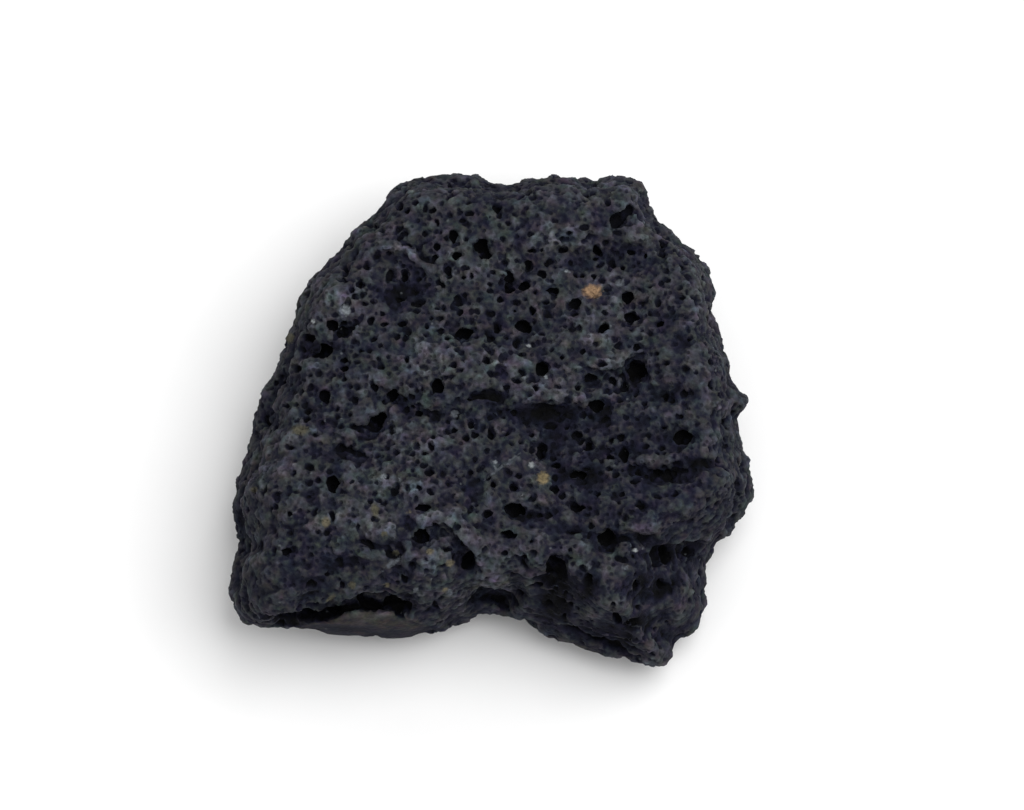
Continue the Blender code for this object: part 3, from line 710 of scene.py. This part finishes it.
def thinOut(mesh):
    # fewer, larger triangles where the surface allows
    bm = bmesh.new()
    bm.from_mesh(mesh)
    dropped = keepOnePiece(bm)
    bmesh.ops.triangulate(bm, faces=bm.faces[:])
    count = len(bm.faces)
    bm.to_mesh(mesh)
    bm.free()
    mesh = throughModifier(mesh, "DECIMATE", ratio=stone["triangles"] / count,
                           use_collapse_triangulate=True)
    print("stone thinned from", count, "to", len(mesh.polygons), "triangles,", dropped, "specks dropped")
    return mesh


def addAttribute(mesh, name, kind, values):
    layer = mesh.attributes.new(name, kind, "POINT")
    layer.data.foreach_set("color" if kind == "FLOAT_COLOR" else "value",
                           np.asarray(values, dtype=np.float32).ravel())


def markRelief(mesh):
    # how far each point stands above (+) or below (-) the surface around it, as a share of a reach in mm
    points = readVectors(mesh, "co")
    for name, rounds, reach in (("fineRelief", 6, 0.07), ("broadRelief", 60, 0.22)):
        smooth = throughModifier(mesh, "SMOOTH", keep=True, factor=0.5, iterations=rounds)
        around = readVectors(smooth, "co")
        normals = readVectors(smooth, "normal")
        bpy.data.meshes.remove(smooth)
        height = np.sum((points - around) * normals, axis=1)
        addAttribute(mesh, name, "FLOAT", np.clip(height / reach, -1.0, 1.0))
    normals = readVectors(mesh, "normal")
    lump, own = lumpsAt(lumpPlaces(points), 0.60, 3.0)
    addAttribute(mesh, "lumpTone", "FLOAT", own * lump + 0.5 * (1.0 - lump))
    addAttribute(mesh, "smoothFace", "FLOAT", smoothFaceShare(points, normals))
    crumb, own = lumpsAt(points + 0.2 * noiseShift(points, 0.6, 15.0), 1.15, 16.0)
    seen = facingViewer(normals)
    # painted shade and light from the listed forms on the faces seen, and a random tone for each crumb elsewhere
    marked = seen * markedForms(*strayedPlace(points)) + (1.0 - seen) * 1.4 * (own - 0.55) * crumb
    smooth = smoothFaceShare(points, normals)
    # the forms are calmer on the smooth faces, which get painted shade where they turn away from the viewer, under
    # the stone
    marked = marked * (1.0 - 0.5 * smooth) - 0.8 * smooth * (1.0 - seen)
    marked -= 0.3 * (1.0 - smoothBetween(points[:, 2], 0.0, 0.3))  # painted shade where the flat spot rests on the table
    addAttribute(mesh, "formShadeAndTone", "FLOAT", marked)


def markGrains(mesh):
    # each coloured grain's reach, 1 in its middle and 0 at its rim, and its colour round about
    points = readVectors(mesh, "co")
    x, y = picturePlace(points)
    seen = readVectors(mesh, "normal") @ np.array(viewerWay) > -0.2
    reach = np.zeros(len(points))
    colour = np.tile(linearColour(grainColours["grey"]), (len(points), 1))
    closest = np.full(len(points), 3.0)
    for px, py, width, height, turn, kind in grains:
        cosine = math.cos(math.radians(turn))
        sine = math.sin(math.radians(turn))
        along = (x - px) * cosine - (y - py) * sine
        across = (x - px) * sine + (y - py) * cosine
        distance = np.hypot(along / (0.5 * width), across / (0.5 * height))
        mine = np.flatnonzero(seen & (distance < closest))
        closest[mine] = distance[mine]
        colour[mine] = linearColour(grainColours[kind])
        reach[mine] = np.maximum(reach[mine], 1.6 - distance[mine])
    addAttribute(mesh, "grainReach", "FLOAT", np.clip(reach, 0.0, 1.6) / 1.6)
    addAttribute(mesh, "grainColour", "FLOAT_COLOR", colour)


chondrite = {
    "matrix": "202125",
    # a blue-black painted shade, laid over the darkest places
    "hollowShade": "15172e",
    "smoothFace": "242222",
    "fleck": "5c6064",
    "toneSize": 2.5,  # mm
    "castSize": 0.75,  # mm
    "castStrength": 0.85,
    "cellSize": 0.34,  # mm
    "gritSize": 0.22,  # mm, drawn coarser than the real dust-fine matrix, so that it shows
    "poreShare": 0.55,  # of the cells have a pore too small for the mesh
    "fleckSize": 0.85,  # mm from one pale fleck to the next
}


def chondriteMaterial():
    # Fine dark matrix of a carbonaceous chondrite, naturally broken: dull, grey with a mauve, green or
    # blue cast in patches, with painted blue-black shade in its hollows and a painted highlight along its ridges,
    # and a few flecks
    material, tree, shader = newMaterial("chondrite matrix, naturally broken")
    where = addNode(tree, "ShaderNodeTexCoord").outputs["Object"]
    marks = {}
    for name in ("smoothFace", "lumpTone", "fineRelief", "broadRelief", "formShadeAndTone", "grainReach"):
        marks[name] = addNode(tree, "ShaderNodeAttribute", {"attribute_name": name}).outputs["Fac"]
    for name, size, detail in (("tone", chondrite["toneSize"], 4.0), ("cast", chondrite["castSize"], 3.0),
                               ("grit", chondrite["gritSize"], 3.0)):
        pattern = addNode(tree, "ShaderNodeTexNoise", {"Scale": 1000 / size, "Detail": detail},
                          {"Vector": where})
        marks[name] = pattern.outputs["Fac"]
        marks[name + "Colour"] = pattern.outputs["Color"]
    for name, size in (("cell", chondrite["cellSize"]), ("fleck", chondrite["fleckSize"])):
        cells = addNode(tree, "ShaderNodeTexVoronoi", {"Scale": 1000 / size}, {"Vector": where})
        pick = addNode(tree, "ShaderNodeSeparateColor", {}, {"Color": cells.outputs["Color"]})
        marks[name] = pick.outputs["Red"]
        marks[name + "Choice"] = pick.outputs["Green"]
        marks[name + "Reach"] = cells.outputs["Distance"]
    chosen = addNode(tree, "ShaderNodeMapRange", {"From Min": chondrite["poreShare"] + 0.05,
                                                  "From Max": chondrite["poreShare"] - 0.05},
                     {"Value": marks["cellChoice"]})
    dot = addNode(tree, "ShaderNodeMapRange", {"From Min": 0.42, "From Max": 0.16},
                  {"Value": marks["cellReach"]})
    pore = addNode(tree, "ShaderNodeMath", {"operation": "MULTIPLY"},
                   {0: chosen.outputs["Result"], 1: dot.outputs["Result"]})
    rough = addNode(tree, "ShaderNodeMapRange", {"To Min": 1.0, "To Max": 0.0},
                    {"Value": marks["smoothFace"]})
    pore = addNode(tree, "ShaderNodeMath", {"operation": "MULTIPLY"},
                   {0: pore.outputs["Value"], 1: rough.outputs["Result"]})
    marks["pore"] = pore.outputs["Value"]

    # how light each place is: grit, lumps, painted shade and light from the relief and the forms, painted shade in
    # the pores, and broad patches, multiplied
    value = None
    for name, low, high, dark, light in (
        ("cell", 0.0, 1.0, 0.84, 1.20),
        ("grit", 0.3, 0.7, 0.72, 1.28),
        # painted shade inside the pores too small for the mesh
        ("pore", 0.0, 1.0, 1.10, 0.50),
        ("lumpTone", 0.0, 1.0, 0.52, 1.48),
        # painted shade in the hollows and a painted highlight along the ridges, from the relief
        ("fineRelief", -0.9, 0.9, 0.55, 1.45),
        ("broadRelief", -0.9, 0.9, 0.15, 1.80),
        # painted shade on the listed hollows and shaded slopes, painted light on the listed lumps
        ("formShadeAndTone", -1.0, 1.0, 0.05, 2.15),
        ("tone", 0.3, 0.7, 1.25, 0.78),
    ):
        share = addNode(tree, "ShaderNodeMapRange", {"From Min": low, "From Max": high, "To Min": dark,
                                                     "To Max": light}, {"Value": marks[name]})
        if value is None:
            value = share.outputs["Result"]
        else:
            product = addNode(tree, "ShaderNodeMath", {"operation": "MULTIPLY"},
                              {0: value, 1: share.outputs["Result"]})
            value = product.outputs["Value"]
    marks["value"] = value

    # its colour: one layer over another, the smooth faces' own colour and then a blue-black painted shade over the
    # darkest places, then the cast, which strays from grey in each channel
    shade = addNode(tree, "ShaderNodeRGB")
    shade.outputs["Color"].default_value = linearColour(chondrite["matrix"])
    colour = shade.outputs["Color"]
    for name, low, high, layer in (
        ("smoothFace", 0.0, 1.0, "smoothFace"),
        ("value", 1.5, 0.1, "hollowShade"),
    ):
        share = addNode(tree, "ShaderNodeMapRange", {"From Min": low, "From Max": high},
                        {"Value": marks[name]})
        over = addNode(tree, "ShaderNodeMix", {"data_type": "RGBA", 7: linearColour(chondrite[layer])},
                       {0: share.outputs["Result"], 6: colour})
        colour = over.outputs[2]
    strength = chondrite["castStrength"]
    cast = addNode(tree, "ShaderNodeVectorMath", {"operation": "MULTIPLY_ADD", 1: (strength,) * 3,
                                                  2: (1.0 - 0.5 * strength,) * 3},
                   {0: marks["castColour"]})
    coloured = addNode(tree, "ShaderNodeVectorMath", {"operation": "MULTIPLY"},
                       {0: colour, 1: cast.outputs["Vector"]})
    toned = addNode(tree, "ShaderNodeVectorMath", {"operation": "SCALE"},
                    {0: coloured.outputs["Vector"], "Scale": value})

    # pale flecks, only here and there
    picked = addNode(tree, "ShaderNodeMapRange", {"From Min": 0.84, "From Max": 0.86},
                     {"Value": marks["fleck"]})
    near = addNode(tree, "ShaderNodeMapRange", {"From Min": 0.12, "From Max": 0.04, "To Max": 0.6},
                   {"Value": marks["fleckReach"]})
    share = addNode(tree, "ShaderNodeMath", {"operation": "MULTIPLY"},
                    {0: picked.outputs["Result"], 1: near.outputs["Result"]})
    flecked = addNode(tree, "ShaderNodeMix", {"data_type": "RGBA", 7: linearColour(chondrite["fleck"])},
                      {0: share.outputs["Value"], 6: toned.outputs["Vector"]})

    # the coloured grains, their rims broken by the grit
    ragged = addNode(tree, "ShaderNodeMath", {"operation": "MULTIPLY_ADD", 1: 0.5},
                     {0: marks["grit"], 2: marks["grainReach"]})
    share = addNode(tree, "ShaderNodeMapRange", {"From Min": 0.56, "From Max": 0.88},
                    {"Value": ragged.outputs["Value"]})
    grain = addNode(tree, "ShaderNodeAttribute", {"attribute_name": "grainColour"})
    uneven = addNode(tree, "ShaderNodeMapRange", {"From Min": 0.3, "From Max": 0.7, "To Min": 0.6,
                                                  "To Max": 1.4}, {"Value": marks["grit"]})
    grainTone = addNode(tree, "ShaderNodeVectorMath", {"operation": "SCALE"},
                        {0: grain.outputs["Color"], "Scale": uneven.outputs["Result"]})
    finished = addNode(tree, "ShaderNodeMix", {"data_type": "RGBA"},
                       {0: share.outputs["Result"], 6: flecked.outputs[2], 7: grainTone.outputs["Vector"]})
    tree.links.new(finished.outputs[2], shader.inputs["Base Color"])

    roughness = addNode(tree, "ShaderNodeMapRange", {"To Min": 0.75, "To Max": 1.0}, {"Value": marks["grit"]})
    tree.links.new(roughness.outputs["Result"], shader.inputs["Roughness"])
    shader.inputs["IOR"].default_value = 1.5
    shader.inputs["Specular IOR Level"].default_value = 0.12  # its pores swallow most of the gloss
    height = addNode(tree, "ShaderNodeMath", {"operation": "SUBTRACT"}, {0: marks["grit"], 1: marks["pore"]})
    bump = addNode(tree, "ShaderNodeBump", {"Strength": 0.9, "Distance": 0.00011},
                   {"Height": height.outputs["Value"]})
    tree.links.new(bump.outputs["Normal"], shader.inputs["Normal"])
    return material


def makeStone():
    mesh = cutForms(startFromSolid())
    print("stone forms cut:", len(mesh.vertices), "points")
    cutGrain(mesh)
    mesh = thinOut(mesh)
    markRelief(mesh)
    markGrains(mesh)
    bm = bmesh.new()
    bm.from_mesh(mesh)
    bmesh.ops.scale(bm, vec=(0.001, 0.001, 0.001), verts=bm.verts[:])
    for face in bm.faces:
        face.smooth = True
    bm.to_mesh(mesh)
    bm.free()
    mesh.name = "chondriteStone"
    mesh.materials.clear()
    mesh.materials.append(chondriteMaterial())
    piece = bpy.data.objects.new("chondriteStone", mesh)
    bpy.context.scene.collection.objects.link(piece)
    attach(piece, "root")
    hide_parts(stone["node"])
    return piece


makeStone()
print("stone ready")
